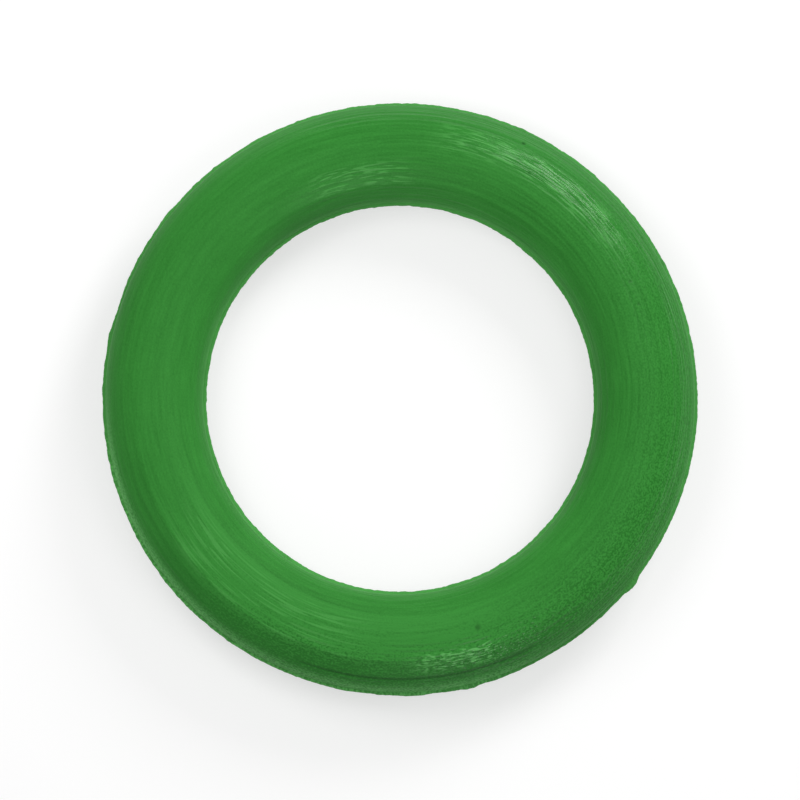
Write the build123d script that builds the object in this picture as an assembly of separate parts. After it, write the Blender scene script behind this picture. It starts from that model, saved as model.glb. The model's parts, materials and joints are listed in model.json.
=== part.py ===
from build123d import *

import os

# O-ring seal: one piece of rubber with a round section, moulded between two halves of a mould.
# A thin flash, trimmed short, runs round the inner and the outer side where the halves met.
# The ring lies flat. Its axis is Z, and the origin is its centre, in the plane of the flash.

# Driving dimensions, in millimetres
inside_diameter = 10.0  # across the hole, on the round section
section_diameter = 2.5  # thickness of the rubber
flash_height = 0.05  # how far the trimmed flash stands proud of the round section
flash_thickness = 0.12  # how thick the flash is along the ring's axis

# Worked out from the driving dimensions
mean_radius = (inside_diameter + section_diameter) / 2
section_middle = Plane.XZ * Pos(mean_radius, 0)


def round_section():
    """The rubber's round section, in the plane through the ring's axis."""
    return section_middle * Circle(section_diameter / 2)


def flash_section():
    """The flash, a thin film across the middle of the section, proud at both sides."""
    flash_width = section_diameter + 2 * flash_height
    return section_middle * Rectangle(flash_width, flash_thickness)


def o_ring():
    """The whole seal: its section turned once about the ring's axis."""
    ring = revolve(round_section() + flash_section(), Axis.Z)
    ring.label = "o_ring"
    return ring


os.makedirs("parts", exist_ok=True)
export_step(o_ring(), "parts/o_ring.step")
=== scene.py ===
"""O-ring seal of moulded green rubber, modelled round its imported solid, on a white studio floor."""

import json
import math

import bmesh
import bpy
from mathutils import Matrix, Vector


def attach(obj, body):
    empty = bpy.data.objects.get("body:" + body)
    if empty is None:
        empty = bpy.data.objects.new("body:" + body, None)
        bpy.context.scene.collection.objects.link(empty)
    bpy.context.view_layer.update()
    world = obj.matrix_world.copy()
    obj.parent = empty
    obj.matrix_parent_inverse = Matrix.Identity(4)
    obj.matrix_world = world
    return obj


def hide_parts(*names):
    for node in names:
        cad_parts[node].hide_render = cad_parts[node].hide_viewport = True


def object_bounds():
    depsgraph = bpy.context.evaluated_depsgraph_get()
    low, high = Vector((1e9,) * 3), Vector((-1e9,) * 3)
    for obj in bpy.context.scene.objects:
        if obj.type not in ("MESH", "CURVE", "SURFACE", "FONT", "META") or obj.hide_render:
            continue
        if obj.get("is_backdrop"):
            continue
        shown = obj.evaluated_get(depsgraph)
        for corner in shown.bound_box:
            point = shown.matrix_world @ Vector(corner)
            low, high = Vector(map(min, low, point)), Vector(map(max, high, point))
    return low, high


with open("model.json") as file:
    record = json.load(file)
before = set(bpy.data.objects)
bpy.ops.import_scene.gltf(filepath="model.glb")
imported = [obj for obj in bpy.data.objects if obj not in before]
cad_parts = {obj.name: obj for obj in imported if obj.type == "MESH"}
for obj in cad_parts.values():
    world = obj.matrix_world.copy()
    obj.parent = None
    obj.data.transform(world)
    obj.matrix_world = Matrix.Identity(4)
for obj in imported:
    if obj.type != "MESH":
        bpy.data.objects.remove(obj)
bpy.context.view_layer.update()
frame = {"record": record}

bl_info = {
    "name": "O-ring seal",
    "version": (1, 0, 0),
    "blender": (4, 5, 0),
    "location": "3D View > Sidebar > O-ring",
    "description": "Models a moulded green rubber O-ring and the white studio floor that it lies on",
    "category": "Add Mesh",
}

MM = 0.001

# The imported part: walls of the trimmed flash at the ring's inner and outer side
WALLS = {mount["name"]: mount["dims"] for mount in frame["record"]["mounts"]}
INNER_LIP = WALLS["inside_diameter"]["r_mm"] * MM
OUTER_LIP = WALLS["outside_diameter"]["r_mm"] * MM
FLASH_THICKNESS = WALLS["outside_diameter"]["length_mm"] * MM
FLASH_HEIGHT = 0.05 * MM

# How thick the flash is at its lip, as a share of its thickness at the skin
FLASH_TAPER = 0.5
FLASH_LIP = "flash lip"

# Pinholes in the skin: azimuth and lean round the section, in degrees, width in millimetres,
# and depth from 0 to 1
PINHOLES = (
    (288.3, 90.4, 0.15, 0.45),
    (64.0, 44.0, 0.11, 0.6),
    (59.8, 78.0, 0.08, 0.35),
    (26.2, 79.1, 0.08, 0.4),
    (20.7, 80.4, 0.08, 0.3),
)

# How far from its middle a pinhole begins and is deepest, as shares of its width
PIT_EDGE = 0.8
PIT_FLOOR = 0.1

# Witness lines of the mould: the azimuth where each is plainest, how far it runs to either side
# and its lean, in degrees, and its half width and height in millimetres, below 0 for a groove
WITNESS_LINES = (
    (250.0, 72.0, 65.5, 0.40, 0.042),
    (100.0, 72.0, 133.0, 0.40, 0.034),
    (275.0, 30.0, 39.5, 0.11, -0.012),
)
WITNESS_LINE = "witness line"

# How much of a groove's half width takes painted shade, and how strongly
GROOVE_SHARE = 0.7
GROOVE_SHADE = 0.5

# Places on the outer flash where the trimming left it longer or, below 0, cut it shorter:
# azimuth in degrees, length along the edge and height in millimetres
TRIM_MARKS = (
    (321.2, 0.5, 0.065),
    (303.0, 4.0, -0.020),
    (283.5, 0.4, 0.030),
    (272.0, 0.9, 0.018),
    (168.0, 0.35, 0.018),
    (161.0, 1.1, -0.015),
    (142.0, 0.6, 0.022),
)

# A trim mark rises in equal steps, each over a smaller share of its length
TRIM_STEPS = (1.0, 0.8, 0.6, 0.4)

# Raggedness of the trimmed edge: the size of its waves or nicks, and their depth, in millimetres
RAGGEDNESS = ((1.5, 0.032), (0.3, 0.030), (0.08, 0.028))

# The level of a texture that leaves the surface where it is
FLASH_MID_LEVEL = 0.25
SKIN_MID_LEVEL = 0.5

# Circles of the turned mould: their pitches in millimetres, and how they wander.
# A wood texture has 20 radians of its wave in a unit of length.
CIRCLE_PITCHES = (0.16, 0.23)
CIRCLE_WANDER = 9.0
CIRCLE_WANDER_SIZE = 6.0
WOOD_WAVE = 2 * math.pi / 20

# How finely the ring is meshed: steps round its axis and round its section, and cuts in a step
# of the flash's lip. Edges that turn less than the smooth angle, in degrees, are shaded smooth.
RING_STEPS = 256
SECTION_STEPS = 256
LIP_CUTS = 3
SMOOTH_ANGLE = 75

# The picture: its side, and the ring's outer diameter and centre on it, in pixels
PICTURE_SIDE = 800
RING_WIDTH = 593.7
RING_CENTRE = (400.1, 398.4)
SENSOR_WIDTH = 36.0

# Tone, the painted highlights, glints and sheen of the dashes, specks and lines, and the grit of the
# painted floor reflection: the levels of the marks where each begins and is full
TONE_LEVELS = (-0.35, 0.35)
PAINTED_HIGHLIGHT_LEVELS = (0.03, 0.15)
GRIT_LEVELS = (-0.3, 0.18)

# Distances from the ring's middle where the floor's lift begins to rise and is full
NEAR_FLOOR = 12 * MM
FAR_FLOOR = 55 * MM

# Softboxes: name, azimuth and elevation in degrees, distance and width in metres, brightness,
# whether it lights the skin, and whether it is mirrored in it
SOFTBOXES = (
    ("key_softbox", 57, 37, 0.08, 0.026, 17.0, False, True),
    ("key_fill", 51, 35, 0.08, 0.03, 11.6, True, False),
    ("glint_softbox", 284, 36, 0.15, 0.012, 140.0, False, True),
    ("left_fill", 155, 62, 0.035, 0.018, 4.0, True, False),
    ("right_fill", 330, 65, 0.035, 0.018, 2.3, True, False),
)
ROOM_LEVEL = 0.455


def linear(hex_colour):
    """An sRGB hex colour as linear red, green, blue and alpha."""
    shares = [int(hex_colour[i : i + 2], 16) / 255 for i in (1, 3, 5)]
    return [c / 12.92 if c <= 0.04045 else ((c + 0.055) / 1.055) ** 2.4 for c in shares] + [1.0]


class RingSizes(bpy.types.PropertyGroup):
    """Sizes of the moulded ring."""

    mean_radius: bpy.props.FloatProperty(
        name="Mean radius",
        description="From the ring's axis to the middle of its section",
        default=(OUTER_LIP + INNER_LIP) / 2,
        unit="LENGTH",
        precision=5,
    )
    section_radius: bpy.props.FloatProperty(
        name="Section radius",
        description="Half the thickness of the rubber",
        default=(OUTER_LIP - INNER_LIP) / 2 - FLASH_HEIGHT,
        unit="LENGTH",
        precision=5,
    )
    flash_height: bpy.props.FloatProperty(
        name="Flash height",
        description="How far the trimmed flash stands proud of the round section",
        default=FLASH_HEIGHT,
        unit="LENGTH",
        precision=6,
    )
    flash_thickness: bpy.props.FloatProperty(
        name="Flash thickness",
        description="How thick the flash is along the ring's axis",
        default=FLASH_THICKNESS,
        unit="LENGTH",
        precision=6,
    )
    mark_depth: bpy.props.FloatProperty(
        name="Tool mark depth",
        description="Depth of the circular marks that the turned mould left",
        default=0.003 * MM,
        unit="LENGTH",
        precision=6,
    )


class RubberFinish(bpy.types.PropertyGroup):
    """Colours and finish of the rubber, with the colours of its painted light and shade."""

    green: bpy.props.FloatVectorProperty(
        name="Green",
        description="Colour of the rubber",
        default=linear("#2C7B2B"),
        size=4,
        min=0.0,
        max=1.0,
        subtype="COLOR",
    )
    # Pale green also carries painted light on the top of one side, and the tone is kept down by painted
    # shade on one flank.
    pale_green: bpy.props.FloatVectorProperty(
        name="Pale green",
        description="Colour of the rubber where its skin is rubbed",
        default=linear("#3B9139"),
        size=4,
        min=0.0,
        max=1.0,
        subtype="COLOR",
    )
    # Scuff and highlight green is the pale trimmed flash, and also the painted highlights, glints, sheen
    # lines and floor reflection.
    scuff_and_highlight_green: bpy.props.FloatVectorProperty(
        name="Scuffed green",
        description="Colour of the trimmed flash and of the skin that is scuffed beside it",
        default=linear("#68BE64"),
        size=4,
        min=0.0,
        max=1.0,
        subtype="COLOR",
    )
    # Recess shade green is painted shade at the bottom of the pinholes and in the grooves.
    recess_shade_green: bpy.props.FloatVectorProperty(
        name="Pit green",
        description="Colour at the bottom of a pinhole",
        default=linear("#0E3A12"),
        size=4,
        min=0.0,
        max=1.0,
        subtype="COLOR",
    )
    inner_roughness: bpy.props.FloatProperty(
        name="Inner roughness",
        description="Roughness of the skin round the hole",
        default=0.65,
        min=0.0,
        max=1.0,
        subtype="FACTOR",
    )
    outer_roughness: bpy.props.FloatProperty(
        name="Outer roughness",
        description="Roughness of the rubbed skin round the outside",
        default=0.25,
        min=0.0,
        max=1.0,
        subtype="FACTOR",
    )
    flash_roughness: bpy.props.FloatProperty(
        name="Flash roughness",
        description="Roughness of the skin beside the flash",
        default=0.62,
        min=0.0,
        max=1.0,
        subtype="FACTOR",
    )
    chalkiness: bpy.props.FloatProperty(
        name="Chalkiness",
        description="How evenly the matt part of the skin scatters light, as a dusty surface does",
        default=0.7,
        min=0.0,
        max=1.0,
        subtype="FACTOR",
    )
    shine: bpy.props.FloatProperty(
        name="Shine",
        description="How strongly the skin mirrors light, where 0.5 is a clean polished skin",
        default=0.13,
        min=0.0,
        max=1.0,
        subtype="FACTOR",
    )


class StudioSetup(bpy.types.PropertyGroup):
    """Floor, light and camera of the studio."""

    floor_white: bpy.props.FloatVectorProperty(
        name="Floor",
        description="Colour of the floor",
        default=linear("#AEAEAE"),
        size=4,
        min=0.0,
        max=1.0,
        subtype="COLOR",
    )
    floor_lift: bpy.props.FloatProperty(
        name="Floor lift",
        description="How much the floor round the ring is lifted towards white, where 1 is white",
        default=0.60,
        min=0.0,
        max=1.0,
        subtype="FACTOR",
    )
    far_lift: bpy.props.FloatProperty(
        name="Far lift",
        description="How much the floor is lifted far away, where the softboxes light it less",
        default=0.84,
        min=0.0,
        max=1.0,
        subtype="FACTOR",
    )
    floor_width: bpy.props.FloatProperty(
        name="Floor width",
        description="Width of the floor",
        default=4.0,
        unit="LENGTH",
    )
    camera_elevation: bpy.props.FloatProperty(
        name="Camera elevation",
        description="How high the camera looks from, above the horizon",
        default=math.radians(84.3),
        unit="ROTATION",
    )
    lens: bpy.props.FloatProperty(
        name="Lens",
        description="Focal length of the camera, in millimetres",
        default=400.0,
        unit="CAMERA",
    )


def add_node(tree, kind, inputs=None, output=0, **settings):
    """Adds one node with its settings and links, and gives one of its outputs.

    An input is a value, or an output of another node.
    """
    node = tree.nodes.new(kind)
    for name, value in settings.items():
        setattr(node, name, value)
    for socket, value in (inputs or {}).items():
        if isinstance(value, bpy.types.NodeSocket):
            tree.links.new(value, node.inputs[socket])
        else:
            node.inputs[socket].default_value = value
    return node.outputs[output] if node.outputs else None


def new_material(name):
    """An empty material, and its node tree."""
    material = bpy.data.materials.new(name)
    material.use_nodes = True
    material.node_tree.nodes.clear()
    return material, material.node_tree


def toward(azimuth, elevation):
    """Unit vector from the ring towards an azimuth, from +X to +Y, and an elevation, in degrees."""
    a, e = math.radians(azimuth), math.radians(elevation)
    return Vector((math.cos(a) * math.cos(e), math.sin(a) * math.cos(e), math.sin(e)))


def skin_point(sizes, azimuth, lean):
    """A place on the round section.

    It has an azimuth, and a lean round the section from the outer side, in degrees.
    """
    a, b = math.radians(azimuth), math.radians(lean)
    reach = sizes.mean_radius + sizes.section_radius * math.cos(b)
    return Vector((reach * math.cos(a), reach * math.sin(a), sizes.section_radius * math.sin(b)))


def arc_limits(arc):
    """How squarely the end of an arc, and half the way to it, face the way that its middle does.

    The arc is how far it runs to either side of its middle, in degrees.
    """
    return math.cos(math.radians(arc)), math.cos(math.radians(arc / 2))


def measure_skin(tree, sizes):
    """Measures of a place on the skin, in millimetres.

    spot is the place itself, around its place on the mean circle, girth its way round the section
    from the outer side, across its way outward from the middle of the section, and off_flash its
    height above or below the flash. outward is the direction away from the ring's axis.
    """
    place = add_node(tree, "ShaderNodeTexCoord", output="Object")
    spot = add_node(tree, "ShaderNodeVectorMath", {0: place, "Scale": 1 / MM}, operation="SCALE")
    flat = add_node(tree, "ShaderNodeVectorMath", {0: spot, 1: (1, 1, 0)}, operation="MULTIPLY")
    outward = add_node(tree, "ShaderNodeVectorMath", {0: flat}, operation="NORMALIZE")
    mean = sizes.mean_radius / MM
    thick = sizes.section_radius / MM
    around = add_node(tree, "ShaderNodeVectorMath", {0: outward, "Scale": mean}, operation="SCALE")
    reach = add_node(tree, "ShaderNodeVectorMath", {0: flat}, output="Value", operation="LENGTH")
    across = add_node(tree, "ShaderNodeMath", {0: reach, 1: mean}, operation="SUBTRACT")
    rise = add_node(tree, "ShaderNodeSeparateXYZ", {0: spot}, output="Z")
    turn = add_node(tree, "ShaderNodeMath", {0: rise, 1: across}, operation="ARCTAN2")
    girth = add_node(tree, "ShaderNodeMath", {0: turn, 1: thick}, operation="MULTIPLY")
    off_flash = add_node(tree, "ShaderNodeMath", {0: rise}, operation="ABSOLUTE")
    return {
        "spot": spot,
        "around": around,
        "girth": girth,
        "across": across,
        "off_flash": off_flash,
        "outward": outward,
    }


def skin_zone(tree, skin, start=0.0, end=1.0, facing=None, **limits):
    """How much a place belongs to a zone of the skin: start outside the zone, end well inside it.

    Each limit is a measure where the zone begins and one where it is full. facing has an azimuth in
    degrees before its two limits, which say how squarely a place faces that way, from -1 to 1.
    """
    measures = dict(skin)
    if facing:
        measures["facing"] = add_node(
            tree,
            "ShaderNodeVectorMath",
            {0: skin["outward"], 1: toward(facing[0], 0)},
            output="Value",
            operation="DOT_PRODUCT",
        )
        limits["facing"] = facing[1:]
    share = 1.0
    for measure, (begins, full) in limits.items():
        share = add_node(
            tree,
            "ShaderNodeMapRange",
            {"Value": measures[measure], "From Min": begins, "From Max": full, "To Max": share},
            interpolation_type="SMOOTHSTEP",
        )
    return add_node(tree, "ShaderNodeMapRange", {"Value": share, "To Min": start, "To Max": end})


def drawn_out_marks(tree, skin, pitch, length, detail=0.0):
    """Marks about one pitch apart across the skin, drawn out along the ring to a length, in millimetres.

    They are heights from about -0.5 to 0.5. A mark and the gap beside it are two cells of the noise.
    """
    cell = pitch / 2
    along = add_node(
        tree, "ShaderNodeVectorMath", {0: skin["around"], "Scale": cell / length}, operation="SCALE"
    )
    aside = add_node(tree, "ShaderNodeCombineXYZ", {"Z": skin["girth"]})
    spot = add_node(tree, "ShaderNodeVectorMath", {0: along, 1: aside}, operation="ADD")
    noise = add_node(tree, "ShaderNodeTexNoise", {"Vector": spot, "Scale": 1 / cell, "Detail": detail})
    return add_node(tree, "ShaderNodeMath", {0: noise, 1: 0.5}, operation="SUBTRACT")


def pinholes(tree, skin, sizes):
    """How deep a place lies in one of the pinholes, from 0 to 1."""
    deepest = 0.0
    for azimuth, lean, width, depth in PINHOLES:
        middle = skin_point(sizes, azimuth, lean) / MM
        apart = add_node(
            tree,
            "ShaderNodeVectorMath",
            {0: skin["spot"], 1: middle},
            output="Value",
            operation="DISTANCE",
        )
        hole = add_node(
            tree,
            "ShaderNodeMapRange",
            {
                "Value": apart,
                "From Min": width * PIT_EDGE,
                "From Max": width * PIT_FLOOR,
                "To Max": depth,
            },
            interpolation_type="SMOOTHSTEP",
        )
        deepest = add_node(tree, "ShaderNodeMath", {0: hole, 1: deepest}, operation="MAXIMUM")
    return deepest


def groove_shade(tree, skin, sizes):
    """How deep a place lies in one of the witness lines that are grooves, from 0 to 1: its share of
    painted shade.
    """
    deepest = 0.0
    for azimuth, arc, lean, half_width, height in WITNESS_LINES:
        if height > 0:
            continue
        crest = math.radians(lean) * sizes.section_radius / MM
        apart = add_node(tree, "ShaderNodeMath", {0: skin["girth"], 1: crest}, operation="SUBTRACT")
        aside = add_node(tree, "ShaderNodeMath", {0: apart}, operation="ABSOLUTE")
        groove = {**skin, "aside": aside}
        shaded = (half_width * GROOVE_SHARE, 0.0)
        share = skin_zone(tree, groove, aside=shaded, facing=(azimuth, *arc_limits(arc)))
        deepest = add_node(tree, "ShaderNodeMath", {0: share, 1: deepest}, operation="MAXIMUM")
    return deepest


def moulded_rubber(sizes, finish):
    """Nitrile rubber, moulded between turned steel faces.

    It is satin green, with fine circles that break up a highlight. Painted highlights, glints, a
    painted floor reflection and painted shade are mixed into its colour.
    """
    material, tree = new_material("moulded green nitrile rubber")
    skin = measure_skin(tree, sizes)

    # Marks in the skin, in millimetres. The sand is drawn as coarse as it needs to show: the real
    # grains are finer.
    clouds = drawn_out_marks(tree, skin, pitch=5.0, length=2.5, detail=3.0)
    broad_streaks = drawn_out_marks(tree, skin, pitch=0.32, length=8.0)
    tool_marks = drawn_out_marks(tree, skin, pitch=0.20, length=6.0, detail=1.0)
    drag_marks = drawn_out_marks(tree, skin, pitch=0.13, length=0.9)
    rub_dashes = drawn_out_marks(tree, skin, pitch=0.08, length=0.40)
    rub_lines = drawn_out_marks(tree, skin, pitch=0.10, length=1.1)
    rub_specks = drawn_out_marks(tree, skin, pitch=0.09, length=0.16)
    sand = drawn_out_marks(tree, skin, pitch=0.08, length=0.05)
    pits = pinholes(tree, skin, sizes)
    grooves = groove_shade(tree, skin, sizes)

    # Zones of the skin. The outer side is smoother but sandier than the inner one, most of all where
    # it was handled. On one side the marks are worn away. On three others the skin is rubbed into
    # dashes and specks, which also carry painted highlights and glints; one side carries painted sheen
    # lines, and the flank of one carries painted shade.
    outer_side = {"across": (-0.5, 0.6), "facing": (10, -0.5, 0.2)}
    handled = {"across": (-0.8, 0.6), "facing": (322, -0.3, 0.7)}
    gritty = {"across": (-0.1, 0.7), "facing": (290, 0.3, 0.8)}
    # Painted highlights and glints: the key softbox's on the outer side, the glint softbox's on the
    # flank and in the hole; painted sheen lines on the top facing 235 degrees.
    dashes_and_highlight_side = {"across": (-0.1, 0.3), "off_flash": (0.9, 1.08), "facing": (57, 0.87, 0.98)}
    specks_and_glint_patch = {"across": (0.3, 0.5), "off_flash": (0.85, 1.0), "facing": (282.5, 0.980, 0.996)}
    dashes_and_glint_hole = {"across": (-0.2, -0.45), "off_flash": (0.85, 1.0), "facing": (100, 0.965, 0.99)}
    painted_sheen_side = {"off_flash": (1.08, 1.2), "facing": (235, 0.85, 0.97)}
    streaked_side = {"facing": (65, 0.75, 0.95)}
    marked_side = {"facing": (150, 0.95, 0.6)}
    # Painted shade: the outer flank facing 262 degrees is darker.
    painted_shade_flank = {"across": (0.6, 0.9), "facing": (262, 0.5, 0.85)}

    # Heights of the relief, in millimetres
    relief = 0.0
    for marks, height in (
        (tool_marks, skin_zone(tree, skin, 0.004, 0.018, **marked_side)),
        (tool_marks, skin_zone(tree, skin, 0.0, 0.008, **streaked_side)),
        (drag_marks, skin_zone(tree, skin, 0.004, 0.011, **marked_side)),
        (drag_marks, skin_zone(tree, skin, 0.0, 0.012, **handled)),
        (rub_dashes, skin_zone(tree, skin, 0.0, 0.012, **dashes_and_highlight_side)),
        (rub_specks, skin_zone(tree, skin, 0.0, 0.014, **specks_and_glint_patch)),
        (rub_dashes, skin_zone(tree, skin, 0.0, 0.012, **dashes_and_glint_hole)),
        (sand, skin_zone(tree, skin, 0.003, 0.013, **gritty)),
        (pits, -0.012),
    ):
        relief = add_node(
            tree, "ShaderNodeMath", {0: marks, 1: height, 2: relief}, operation="MULTIPLY_ADD"
        )
    normal = add_node(tree, "ShaderNodeBump", {"Strength": 1.0, "Distance": MM, "Height": relief})

    # The skin is paler where it is rubbed, with painted light on the top of one side and painted shade
    # on the flank of another. It is palest along the trimmed flash, whose pale colour also lifts its
    # shaded edge as painted light, in a painted floor reflection beside it on one side, and in the
    # painted highlights, glints and sheen lines of the dashes, specks and lines.
    # Painted light: the top of the side facing 252 degrees is paler.
    tone = skin_zone(tree, skin, 0.0, 0.32, off_flash=(1.0, 1.22), facing=(252, 0.5, 0.95))
    for marks, share in (
        # Painted shade: the tone is darker on the flank facing 262 degrees.
        (1.0, skin_zone(tree, skin, 0.0, -0.32, off_flash=(0.5, 0.75), **painted_shade_flank)),
        (clouds, 0.4),
        (broad_streaks, skin_zone(tree, skin, 0.25, 0.55, facing=(238, 0.4, 0.97))),
        (tool_marks, skin_zone(tree, skin, 0.06, 0.3, **marked_side)),
        (drag_marks, 0.4),
        (sand, skin_zone(tree, skin, 0.5, 1.4, **handled)),
        (sand, skin_zone(tree, skin, 0.0, 1.6, **gritty)),
    ):
        tone = add_node(tree, "ShaderNodeMath", {0: marks, 1: share, 2: tone}, operation="MULTIPLY_ADD")
    begins, full = TONE_LEVELS
    # rubbed carries the rubbed tone, painted light on the top of one side and painted shade on one
    # flank.
    rubbed = add_node(tree, "ShaderNodeMapRange", {"Value": tone, "From Min": begins, "From Max": full})
    # The trimmed flash is pale: partly trimmed rubber, partly painted light that lifts its shaded edge.
    trimmed = skin_zone(tree, skin, 0.0, 0.4, off_flash=(0.4, 0.06))
    # Painted reflection of the white floor: a pale rim, grained by the sand, on the lower outer flank
    # beside the flash.
    floor_reflection_rim = skin_zone(tree, skin, across=(0.6, 1.0), off_flash=(0.72, 0.25), facing=(240, 0.4, 0.75))
    begins, full = GRIT_LEVELS
    gritty_floor_reflection = add_node(
        tree, "ShaderNodeMapRange", {"Value": sand, "From Min": begins, "From Max": full, "To Max": floor_reflection_rim}
    )
    # scuffed holds the pale flash, the painted floor reflection and, below, the painted highlights.
    scuffed = add_node(tree, "ShaderNodeMath", {0: trimmed, 1: gritty_floor_reflection}, operation="MAXIMUM")
    begins, full = PAINTED_HIGHLIGHT_LEVELS
    # Painted highlights, glints and sheen lines in the dashes, specks and lines.
    for marks, most in (
        (rub_dashes, skin_zone(tree, skin, 0.0, 0.45, **dashes_and_highlight_side)),
        (rub_specks, skin_zone(tree, skin, 0.0, 0.85, **specks_and_glint_patch)),
        (rub_dashes, skin_zone(tree, skin, 0.0, 0.35, **dashes_and_glint_hole)),
        (rub_lines, skin_zone(tree, skin, 0.0, 0.24, **painted_sheen_side)),
    ):
        share = add_node(
            tree,
            "ShaderNodeMapRange",
            {"Value": marks, "From Min": begins, "From Max": full, "To Max": most},
        )
        scuffed = add_node(tree, "ShaderNodeMath", {0: share, 1: scuffed}, operation="MAXIMUM")
    # Painted shade in the grooves.
    groove_painted_shade = add_node(tree, "ShaderNodeMath", {0: grooves, 1: GROOVE_SHADE}, operation="MULTIPLY")
    colour = finish.green
    for share, shade in (
        # Rubbed tone, with painted light on one side and painted shade on one flank.
        (rubbed, finish.pale_green),
        (groove_painted_shade, finish.recess_shade_green),
        (scuffed, finish.scuff_and_highlight_green),
        # Painted shade at the bottom of the pinholes.
        (pits, finish.recess_shade_green),
    ):
        colour = add_node(
            tree,
            "ShaderNodeMix",
            {"Factor": share, "A": colour, "B": shade},
            output="Result",
            data_type="RGBA",
        )

    # The skin is matt round the hole and towards the flash, and smoother where it was rubbed.
    roughness = finish.inner_roughness
    for share, matt in (
        (skin_zone(tree, skin, 0.0, 0.5, facing=(100, 0.8, 0.97)), finish.outer_roughness),
        (skin_zone(tree, skin, **outer_side), finish.outer_roughness),
        (skin_zone(tree, skin, off_flash=(0.95, 0.5)), finish.flash_roughness),
        (pits, 1.0),
    ):
        roughness = add_node(
            tree, "ShaderNodeMix", {"Factor": share, "A": roughness, "B": matt}, output="Result"
        )
    rubber = add_node(
        tree,
        "ShaderNodeBsdfPrincipled",
        {
            "Base Color": colour,
            "Roughness": roughness,
            "Diffuse Roughness": finish.chalkiness,
            "Specular IOR Level": finish.shine,
            "Normal": normal,
        },
    )
    add_node(tree, "ShaderNodeOutputMaterial", {"Surface": rubber})
    return material


def select_faces(ring, wanted):
    """Selects, in edit mode, the faces whose centre wanted says yes to."""
    bpy.ops.mesh.select_all(action="DESELECT")
    cage = bmesh.from_edit_mesh(ring.data)
    for face in cage.faces:
        if wanted(face.calc_center_median()):
            face.select_set(True)
    bmesh.update_edit_mesh(ring.data)


def is_level(edge, slack):
    """Whether both ends of an edge lie equally high, as those of an edge along the ring do."""
    return abs(edge.verts[0].co.z - edge.verts[1].co.z) < slack


def raise_flash(ring, sizes):
    """Draws the thin flash out of the skin where the halves of the mould met.

    It is thinned towards its lip. The lip's edges along the ring are cut finer than the skin's,
    because its nicks are finer.
    """
    bpy.ops.object.mode_set(mode="EDIT")
    bpy.ops.mesh.select_mode(type="FACE")
    select_faces(ring, lambda centre: abs(centre.z) < sizes.flash_thickness / 2)
    bpy.ops.mesh.extrude_region_shrink_fatten(TRANSFORM_OT_shrink_fatten={"value": sizes.flash_height})
    bpy.ops.transform.resize(value=(1.0, 1.0, FLASH_TAPER), center_override=(0.0, 0.0, 0.0))
    bpy.ops.object.vertex_group_assign_new()
    ring.vertex_groups.active.name = FLASH_LIP
    cage = bmesh.from_edit_mesh(ring.data)
    lip = [edge for edge in cage.edges if edge.select and is_level(edge, sizes.flash_thickness / 100)]
    bpy.ops.mesh.select_mode(type="EDGE")
    bpy.ops.mesh.select_all(action="DESELECT")
    for edge in lip:
        edge.select_set(True)
    bmesh.update_edit_mesh(ring.data)
    bpy.ops.mesh.subdivide(number_cuts=LIP_CUTS)
    bpy.ops.mesh.select_mode(type="FACE")
    bpy.ops.object.mode_set(mode="OBJECT")


def leave_trim_marks(ring, sizes):
    """Pulls the outer flash out or presses it in where the trimming missed it or cut it short."""
    lip = sizes.mean_radius + sizes.section_radius + sizes.flash_height
    bpy.ops.object.mode_set(mode="EDIT")
    for azimuth, length, height in TRIM_MARKS:
        middle = toward(azimuth, 0) * lip
        for share in TRIM_STEPS:
            reach = share * length * MM / 2
            select_faces(
                ring,
                lambda centre: abs(centre.z) < sizes.flash_thickness / 2
                and (centre - middle).length < reach,
            )
            bpy.ops.transform.shrink_fatten(value=height * MM / len(TRIM_STEPS))
    bpy.ops.object.mode_set(mode="OBJECT")


def displace(ring, name, texture, depth, on_flash, gauge=None):
    """Moves the flash or the skin in and out by a texture.

    The texture is read in the ring's own space, or in that of a gauge.
    """
    press = ring.modifiers.new(name, "DISPLACE")
    press.texture = texture
    press.strength = depth
    press.vertex_group = FLASH_LIP
    press.invert_vertex_group = not on_flash
    press.mid_level = FLASH_MID_LEVEL if on_flash else SKIN_MID_LEVEL
    press.texture_coords = "OBJECT" if gauge else "LOCAL"
    press.texture_coords_object = gauge
    bpy.ops.object.modifier_apply(modifier=name)


def tear_flash(ring):
    """Leaves the edge of the flash ragged, as trimming does."""
    for size, depth in RAGGEDNESS:
        nicks = bpy.data.textures.new("trimmed edge", "CLOUDS")
        nicks.noise_scale = size * MM
        nicks.noise_depth = 1
        displace(ring, "trimmed edge", nicks, depth * MM, on_flash=True)


def raise_witness_lines(ring, sizes):
    """Raises or sinks the lines where the mould's faces met, each with a sharp crest."""
    for azimuth, arc, lean, half_width, height in WITNESS_LINES:
        line = ring.vertex_groups.new(name=WITNESS_LINE)
        crest = math.radians(lean) * sizes.section_radius
        ends, full = arc_limits(arc)
        for vertex in ring.data.vertices:
            flat = vertex.co.xy
            girth = math.atan2(vertex.co.z, flat.length - sizes.mean_radius) * sizes.section_radius
            slope = max(0.0, 1.0 - abs(girth - crest) / (half_width * MM))
            squarely = flat.normalized().dot(toward(azimuth, 0).xy)
            plain = min(1.0, max(0.0, (squarely - ends) / (full - ends)))
            line.add([vertex.index], slope**2 * plain**2 * (3 - 2 * plain), "REPLACE")
        press = ring.modifiers.new(WITNESS_LINE, "DISPLACE")
        press.strength = height * MM
        press.mid_level = 0.0
        press.vertex_group = WITNESS_LINE
        bpy.ops.object.modifier_apply(modifier=WITNESS_LINE)
        ring.vertex_groups.remove(ring.vertex_groups[WITNESS_LINE])


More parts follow.
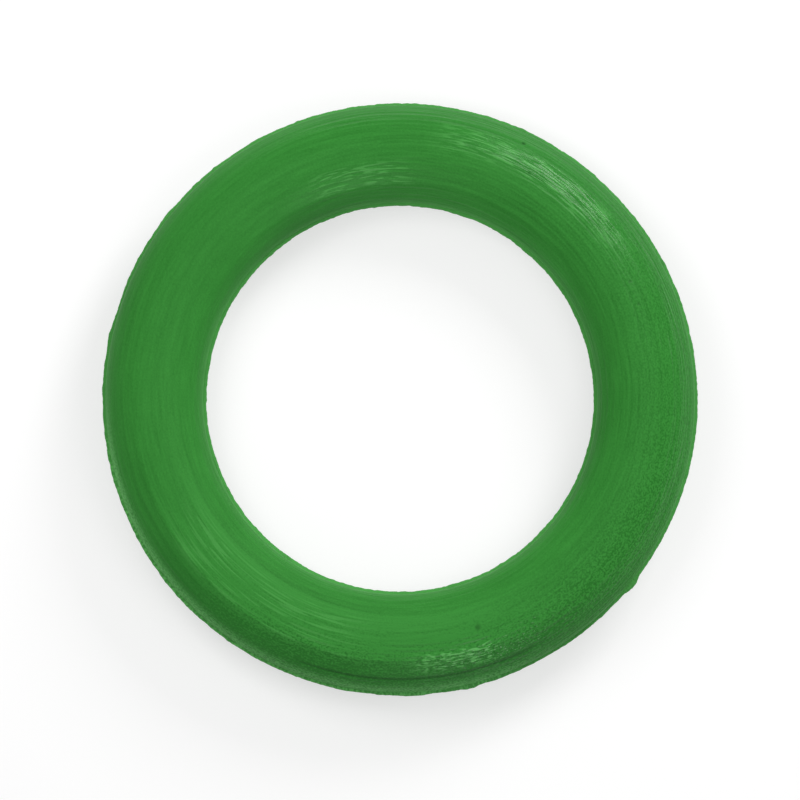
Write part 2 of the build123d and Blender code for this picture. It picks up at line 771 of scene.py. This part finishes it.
def press_tool_marks(ring, sizes):
    """Presses circles into the skin, as the turned faces of the mould did."""
    for pitch in CIRCLE_PITCHES:
        bpy.ops.object.empty_add()
        gauge = bpy.context.object
        gauge.scale = [pitch * MM / WOOD_WAVE] * 3
        bpy.context.view_layer.update()
        circles = bpy.data.textures.new("turned face", "WOOD")
        circles.wood_type = "RINGNOISE"
        circles.noise_scale = CIRCLE_WANDER_SIZE
        circles.turbulence = CIRCLE_WANDER
        bpy.ops.object.select_all(action="DESELECT")
        ring.select_set(True)
        bpy.context.view_layer.objects.active = ring
        displace(ring, "turned face", circles, sizes.mark_depth, on_flash=False, gauge=gauge)
        bpy.data.objects.remove(gauge)


class SEAL_OT_mould_ring(bpy.types.Operator):
    """Moulds the rubber ring, with its flash, its tool marks and its green finish"""

    bl_idname = "seal.mould_ring"
    bl_label = "Mould the ring"

    def execute(self, context):
        sizes = context.scene.ring_sizes
        bpy.ops.object.select_all(action="DESELECT")
        bpy.ops.mesh.primitive_torus_add(
            major_segments=RING_STEPS,
            minor_segments=SECTION_STEPS,
            major_radius=sizes.mean_radius,
            minor_radius=sizes.section_radius,
        )
        ring = context.object
        ring.name = "rubber_o_ring"
        ring.data.name = "rubber_o_ring"
        raise_flash(ring, sizes)
        leave_trim_marks(ring, sizes)
        tear_flash(ring)
        raise_witness_lines(ring, sizes)
        press_tool_marks(ring, sizes)
        bpy.ops.object.shade_smooth_by_angle(angle=math.radians(SMOOTH_ANGLE))
        ring.data.materials.append(moulded_rubber(sizes, context.scene.rubber_finish))
        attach(ring, "root")
        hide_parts("o_ring")
        return {"FINISHED"}


def white_paper(studio):
    """Matt white paper.

    What is seen of it, straight or mirrored, is lifted, so that it shows white outside the shadow.
    """
    material, tree = new_material("matt white paper")
    paper = add_node(tree, "ShaderNodeBsdfDiffuse", {"Color": studio.floor_white})
    seen = 0.0
    for ray in ("Is Camera Ray", "Is Glossy Ray", "Is Transmission Ray"):
        hit = add_node(tree, "ShaderNodeLightPath", output=ray)
        seen = add_node(tree, "ShaderNodeMath", {0: hit, 1: seen}, operation="MAXIMUM")
    place = add_node(tree, "ShaderNodeTexCoord", output="Object")
    away = add_node(tree, "ShaderNodeVectorMath", {0: place}, output="Value", operation="LENGTH")
    lift = add_node(
        tree,
        "ShaderNodeMapRange",
        {
            "Value": away,
            "From Min": NEAR_FLOOR,
            "From Max": FAR_FLOOR,
            "To Min": studio.floor_lift,
            "To Max": studio.far_lift,
        },
        interpolation_type="SMOOTHSTEP",
    )
    strength = add_node(tree, "ShaderNodeMath", {0: seen, 1: lift}, operation="MULTIPLY")
    glow = add_node(tree, "ShaderNodeEmission", {"Strength": strength})
    both = add_node(tree, "ShaderNodeAddShader", {0: paper, 1: glow})
    add_node(tree, "ShaderNodeOutputMaterial", {"Surface": both})
    return material


def lay_floor(studio, height):
    """The white floor under the ring."""
    bpy.ops.mesh.primitive_plane_add(size=studio.floor_width, location=(0, 0, height))
    floor = bpy.context.object
    floor.name = "studio_floor"
    floor.data.materials.append(white_paper(studio))
    floor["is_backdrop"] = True


def hang_softbox(name, azimuth, elevation, distance, width, brightness, lights, mirrored):
    """A square softbox that faces the ring. Its brightness is that of its cloth, where 1 is white.

    One that isn't mirrored in the skin only fills the shade, as behind a polarising sheet. One that
    doesn't light the skin is only mirrored in it, as a small far lamp.
    """
    bpy.ops.object.light_add(type="AREA", location=toward(azimuth, elevation) * distance)
    box = bpy.context.object
    box.name = name
    box.rotation_euler = toward(azimuth, elevation).to_track_quat("Z", "Y").to_euler()
    box.data.size = width
    box.data.energy = brightness * math.pi * width**2
    box.visible_diffuse = lights
    box.visible_glossy = mirrored


def dim_room(level):
    """Even light from all round, as from the walls of the studio."""
    world = bpy.data.worlds.new("studio room")
    world.use_nodes = True
    world.node_tree.nodes.clear()
    room = add_node(world.node_tree, "ShaderNodeBackground", {"Strength": level})
    add_node(world.node_tree, "ShaderNodeOutputWorld", {"Surface": room})
    bpy.context.scene.world = world


def aim_camera(studio, sizes):
    """Looks down on the ring as the picture does, with the ring as wide and in the same place."""
    outer = 2 * (sizes.mean_radius + sizes.section_radius + sizes.flash_height)
    pixel = outer / RING_WIDTH
    distance = studio.lens / SENSOR_WIDTH * PICTURE_SIDE * pixel
    back = toward(-90, math.degrees(studio.camera_elevation))
    right, up = Vector((1, 0, 0)), back.cross(Vector((1, 0, 0)))
    middle = PICTURE_SIDE / 2
    aim = ((middle - RING_CENTRE[0]) * right + (RING_CENTRE[1] - middle) * up) * pixel
    bpy.ops.object.camera_add(location=aim + back * distance)
    camera = bpy.context.object
    camera.name = "camera"
    camera.rotation_euler = back.to_track_quat("Z", "Y").to_euler()
    camera.data.lens = studio.lens
    camera.data.sensor_width = SENSOR_WIDTH
    camera.data.clip_start = distance / 100
    bpy.context.scene.camera = camera


class SEAL_OT_set_stage(bpy.types.Operator):
    """Lays the white floor, hangs the softboxes and aims the camera"""

    bl_idname = "seal.set_stage"
    bl_label = "Set the stage"

    def execute(self, context):
        scene = context.scene
        bpy.ops.object.select_all(action="DESELECT")
        lay_floor(scene.studio_setup, height=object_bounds()[0].z)
        for softbox in SOFTBOXES:
            hang_softbox(*softbox)
        dim_room(ROOM_LEVEL)
        aim_camera(scene.studio_setup, scene.ring_sizes)
        scene.view_settings.view_transform = "Standard"
        return {"FINISHED"}


class SEAL_PT_o_ring(bpy.types.Panel):
    """Sizes, finish and studio of the O-ring"""

    bl_label = "O-ring"
    bl_idname = "SEAL_PT_o_ring"
    bl_space_type = "VIEW_3D"
    bl_region_type = "UI"
    bl_category = "O-ring"

    def draw(self, context):
        scene = context.scene
        for group in (scene.ring_sizes, scene.rubber_finish, scene.studio_setup):
            box = self.layout.box()
            for name in group.__annotations__:
                box.prop(group, name)
        self.layout.operator(SEAL_OT_mould_ring.bl_idname)
        self.layout.operator(SEAL_OT_set_stage.bl_idname)


CLASSES = (RingSizes, RubberFinish, StudioSetup, SEAL_OT_mould_ring, SEAL_OT_set_stage, SEAL_PT_o_ring)


def register():
    """Adds the classes, and the settings to the scene."""
    for part in CLASSES:
        bpy.utils.register_class(part)
    bpy.types.Scene.ring_sizes = bpy.props.PointerProperty(type=RingSizes)
    bpy.types.Scene.rubber_finish = bpy.props.PointerProperty(type=RubberFinish)
    bpy.types.Scene.studio_setup = bpy.props.PointerProperty(type=StudioSetup)


def unregister():
    """Takes the settings and the classes away again."""
    del bpy.types.Scene.studio_setup
    del bpy.types.Scene.rubber_finish
    del bpy.types.Scene.ring_sizes
    for part in reversed(CLASSES):
        bpy.utils.unregister_class(part)


def main():
    """Moulds the ring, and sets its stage."""
    register()
    bpy.ops.seal.mould_ring()
    bpy.ops.seal.set_stage()


if __name__ == "__main__":
    main()
